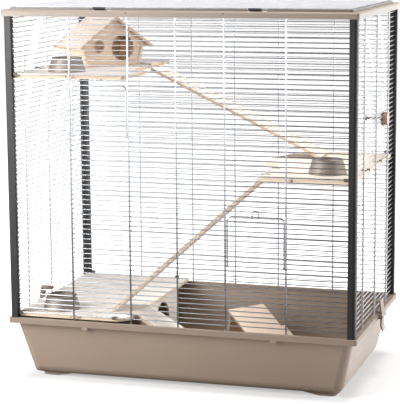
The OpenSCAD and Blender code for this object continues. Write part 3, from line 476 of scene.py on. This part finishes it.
boards = {
    "upper_shelf": (yAxis, zAxis, upperShelfShadedLook), "middle_shelf": (yAxis, zAxis, middleShelfShadedLook),
    "lower_platform": (yAxis, zAxis, boardLook), "hide_panel": (yAxis, xAxis, boardLook),
    "upper_ramp_board": (upperGrain, upperFace, upperRampShadedLook),
    "upper_ramp_rungs": (yAxis, upperFace, upperRampShadedLook),
    "lower_ramp_board": (lowerGrain, lowerFace, rampLook), "lower_ramp_rungs": (yAxis, lowerFace, rungLook),
    "entry_ramp_board": (entryGrain, entryFace, boardLook),
    "house_front": (houseAlong, houseDeep, houseLook), "house_back": (houseAlong, houseDeep, houseLook),
    "house_left": (houseDeep, houseAlong, houseLook), "house_right": (houseDeep, houseAlong, houseLook),
    "house_roof_left": (houseDeep, leftRoofFace, roofLook),
    "house_roof_right": (houseDeep, rightRoofFace, roofLook),
    "house_trim": (zAxis, houseDeep, trimShadowEdgeLook),
    "loose_hide_top": (hideDown, hideFace, hideLook), "loose_hide_prop": (hideSide, hideAlong, hideLook),
}
boardCut = {"first": (0.0, 0.061, 0.043), "next": (0.13, 0.017, 0.029)}      # each board's place in the log
boardEdge = {"width": 0.0007, "segments": 2, "sharp": 35, "flat": 1, "weld": 0.00001}


def easeEdges(piece):
    weld = piece.modifiers.new("joinFaces", "WELD")
    weld.merge_threshold = boardEdge["weld"]
    merge = piece.modifiers.new("flatFaces", "DECIMATE")
    merge.decimate_type = "DISSOLVE"
    merge.angle_limit = math.radians(boardEdge["flat"])
    ease = piece.modifiers.new("easedEdge", "BEVEL")
    ease.width = boardEdge["width"]
    ease.segments = boardEdge["segments"]
    ease.limit_method = "ANGLE"
    ease.angle_limit = math.radians(boardEdge["sharp"])


def setFinish(piece, material):
    piece.data.materials.clear()
    piece.data.materials.append(material)


for count, (name, (grain, thick, look)) in enumerate(boards.items()):
    shift = [first + count * more for first, more in zip(boardCut["first"], boardCut["next"])]
    setFinish(nodes[name], woodFinish("wood_" + name, grain, thick, shift, look))
    easeEdges(nodes[name])
print("boards finished:", len(boards))

slotOf = {part["node"]: part["material_slot"] for part in frame["record"]["subparts"]}
for name, piece in nodes.items():
    if name not in boards:
        setFinish(piece, finishes[nodeFinish.get(name, slotFinish[slotOf[name]])])

frontCoat = {"wires": ("front_wall", "upper_door", "lower_door"), "thickness": 0.0002}      # zinc
for name in frontCoat["wires"]:
    coatAndLitSide = nodes[name].modifiers.new("zincCoat", "DISPLACE")
    coatAndLitSide.mid_level = 0.0
    coatAndLitSide.strength = frontCoat["thickness"]
print("finishes set on", len(nodes), "nodes")


# dark studs in the two holes on the front of the top frame; the outline gives shares of radius and depth
pips = {"aside": 0.1087, "underTop": 0.0098, "radius": 0.00145, "deep": 0.0013, "sides": 24,
        "outline": ((1.0, 0.0), (1.0, 0.7), (0.85, 0.9), (0.5, 1.0))}


def makePip(name, side):
    frameLow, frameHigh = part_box("top_frame")
    points, faces = [], []
    sides, rings = pips["sides"], len(pips["outline"])
    for share, rise in pips["outline"]:
        reach = share * pips["radius"]
        for turn in range(sides):
            angle = 2 * math.pi * turn / sides
            points.append((side * pips["aside"] + reach * math.cos(angle),
                           frameLow.y + pips["deep"] * (1 - rise),
                           frameHigh.z - pips["underTop"] + reach * math.sin(angle)))
    for ring in range(rings - 1):
        near, far = ring * sides, (ring + 1) * sides
        for turn in range(sides):
            after = (turn + 1) % sides
            faces.append((near + turn, near + after, far + after, far + turn))
    faces.append(tuple(reversed(range(sides))))
    faces.append(tuple(range((rings - 1) * sides, rings * sides)))
    mesh = bpy.data.meshes.new(name)
    mesh.from_pydata(points, [], faces)
    shape = bmesh.new()
    shape.from_mesh(mesh)
    bmesh.ops.recalc_face_normals(shape, faces=shape.faces)
    shape.to_mesh(mesh)
    shape.free()
    pip = bpy.data.objects.new(name, mesh)
    bpy.context.scene.collection.objects.link(pip)
    setFinish(pip, finishes["postPlastic"])
    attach(pip, "cage")


makePip("left_frame_pip", -1)
makePip("right_frame_pip", 1)
print("frame pips made")


# studio

# the floor glows though it is no lamp: painted light that whitens it for the eye, painted reflections of
# white far off and in a strip at the right that shows as a sheen on the tray's side, and a dark tone painted
# where it is seen in reflections near the cage
floorLook = {
    "size": 30.0, "tone": rgb(0.45, 0.45, 0.45), "drift": 3.0, "driftTone": rgb(0.44325, 0.44325, 0.44325),
    "mirrored": rgb(0.05, 0.05, 0.05), "rough": 0.9, "specular": 0.1,
    "light": 1.8, "white": 0.56,                      # its own light, and the share that reads as white
    "glowNear": 0.25, "glow": (0.4, 1.1),             # the eye sees this share near the cage, white far off
    "sheen": (2.1, 2.7),                              # reflections see white far off
    "stripX": (0.30, 0.42), "stripY": (-0.4, 0.0),    # and all of the light at the right
}


def makeFloor():
    mesh = bpy.data.meshes.new("floor")
    half = floorLook["size"] / 2
    corners = [(-half, -half, 0), (half, -half, 0), (half, half, 0), (-half, half, 0)]
    mesh.from_pydata(corners, [], [(0, 1, 2, 3)])
    floor = bpy.data.objects.new("floor", mesh)
    bpy.context.scene.collection.objects.link(floor)
    material, tree, shader, coords = newFinish("paleFloor")
    place = coords["Object"]
    ray = tree.nodes.new("ShaderNodeLightPath").outputs
    drift = noise(tree, place, floorLook["drift"])["Fac"]
    lit = mixColor(tree, drift, floorLook["tone"], floorLook["driftTone"])
    # painted dark where the floor is seen in reflections
    tone = mixColor(tree, ray["Is Glossy Ray"], lit, floorLook["mirrored"])
    tree.links.new(tone, shader.inputs["Base Color"])
    shader.inputs["Roughness"].default_value = floorLook["rough"]
    shader.inputs["Specular IOR Level"].default_value = floorLook["specular"]
    away = vectorNode(tree, "LENGTH", place)["Value"]
    axes = splitAxes(tree, place)
    # painted light: the glow the eye sees, faint near the cage and white far off
    glow = spread(tree, step(tree, away, *floorLook["glow"]), floorLook["glowNear"], floorLook["white"])
    farOff = spread(tree, step(tree, away, *floorLook["sheen"]), 0.0, floorLook["white"])
    beside = mathNode(tree, "MULTIPLY", step(tree, axes["X"], *floorLook["stripX"]),
                      step(tree, axes["Y"], *floorLook["stripY"]))
    sheen = mathNode(tree, "MAXIMUM", farOff, beside)
    seen = mathNode(tree, "ADD", mathNode(tree, "MULTIPLY", glow, ray["Is Camera Ray"]),
                    mathNode(tree, "MULTIPLY", sheen, ray["Is Glossy Ray"]))
    tree.links.new(mixColor(tree, seen, rgb(0, 0, 0), rgb(1, 1, 1)), shader.inputs["Emission Color"])
    shader.inputs["Emission Strength"].default_value = floorLook["light"]
    mesh.materials.append(material)


backdrop = {"fill": 0.07, "seen": 1.0}      # light on the cage, and what the eye sees behind it


def makeWorld():
    world = bpy.data.worlds.new("studioWorld")
    bpy.context.scene.world = world
    world.use_nodes = True
    tree = world.node_tree
    tree.nodes.clear()
    out = tree.nodes.new("ShaderNodeOutputWorld")
    fill = addNode(tree, "Background", Color=rgb(1, 1, 1), Strength=backdrop["fill"])
    seen = addNode(tree, "Background", Color=rgb(1, 1, 1), Strength=backdrop["seen"])
    ray = tree.nodes.new("ShaderNodeLightPath")
    mix = tree.nodes.new("ShaderNodeMixShader")
    tree.links.new(ray.outputs["Is Camera Ray"], mix.inputs[0])
    tree.links.new(fill.outputs[0], mix.inputs[1])
    tree.links.new(seen.outputs[0], mix.inputs[2])
    tree.links.new(mix.outputs[0], out.inputs[0])


# gleam: shows as a highlight; fills: lights dull surfaces
lamps = {
    "keyLeft": {"at": (-1.3, -1.3, 1.05), "aim": (-0.2, 0, 0.3), "size": (1.0, 1.2), "power": 52.0,
                "gleam": True, "fills": True},
    "backRight": {"at": (1.2, 2.7, 0.75), "aim": (0.5, 0, 0.5), "size": (2.0, 1.6), "power": 26.0,
                  "gleam": True, "fills": True},
    "sideRight": {"at": (2.4, 0.4, 1.0), "aim": (0.4, 0, 0.4), "size": (1.4, 1.6), "power": 42.0,
                  "gleam": True, "fills": True},
    "overhead": {"at": (0.0, 0.1, 4.4), "aim": (0, 0, 0.3), "size": (3.0, 2.6), "power": 325.0,
                 "gleam": False, "fills": True},
    "frontLeft": {"at": (-1.25, -2.5, 1.35), "aim": (0, -0.2, 1.35), "size": (1.4, 2.4), "power": 30.0,
                  "gleam": True, "fills": False},
    "houseInside": {"at": (-0.297, 0.005, 0.745), "aim": (-0.345, 0.03, 0.735), "size": (0.015, 0.015),
                    "power": 0.026, "gleam": False, "fills": True},
}


def makeLamps():
    for name, lamp in lamps.items():
        data = bpy.data.lights.new(name, "AREA")
        data.shape = "RECTANGLE"
        data.size, data.size_y = lamp["size"]
        data.energy = lamp["power"]
        light = bpy.data.objects.new(name, data)
        light.location = lamp["at"]
        ahead = Vector(lamp["aim"]) - Vector(lamp["at"])
        light.rotation_euler = ahead.to_track_quat("-Z", "Y").to_euler()
        light.visible_glossy = lamp["gleam"]
        light.visible_diffuse = lamp["fills"]
        bpy.context.scene.collection.objects.link(light)


camera = {"at": (1.0691, -3.5248, 1.0035), "yaw": 17.15, "pitch": 9.52, "roll": -0.41,
          "focalPixels": 1619.5, "longSide": 404, "sensor": 36.0}      # the image's long side is its height


def makeCamera():
    yaw, pitch, roll = (math.radians(camera[turn]) for turn in ("yaw", "pitch", "roll"))
    ahead = Vector((-math.sin(yaw), math.cos(yaw), 0))
    side = Vector((math.cos(yaw), math.sin(yaw), 0))
    forward = ahead * math.cos(pitch) - zAxis * math.sin(pitch)
    up = ahead * math.sin(pitch) + zAxis * math.cos(pitch)
    right = side * math.cos(roll) + up * math.sin(roll)
    up = up * math.cos(roll) - side * math.sin(roll)
    data = bpy.data.cameras.new("photoCamera")
    data.sensor_width = camera["sensor"]
    data.lens = camera["focalPixels"] * camera["sensor"] / camera["longSide"]
    eye = bpy.data.objects.new("photoCamera", data)
    turn = Matrix((right, up, -forward)).transposed()
    eye.matrix_world = Matrix.Translation(camera["at"]) @ turn.to_4x4()
    bpy.context.scene.collection.objects.link(eye)
    bpy.context.scene.camera = eye


makeFloor()
makeWorld()
makeLamps()
makeCamera()
bpy.context.scene.view_settings.view_transform = "Standard"
print("studio and camera ready")
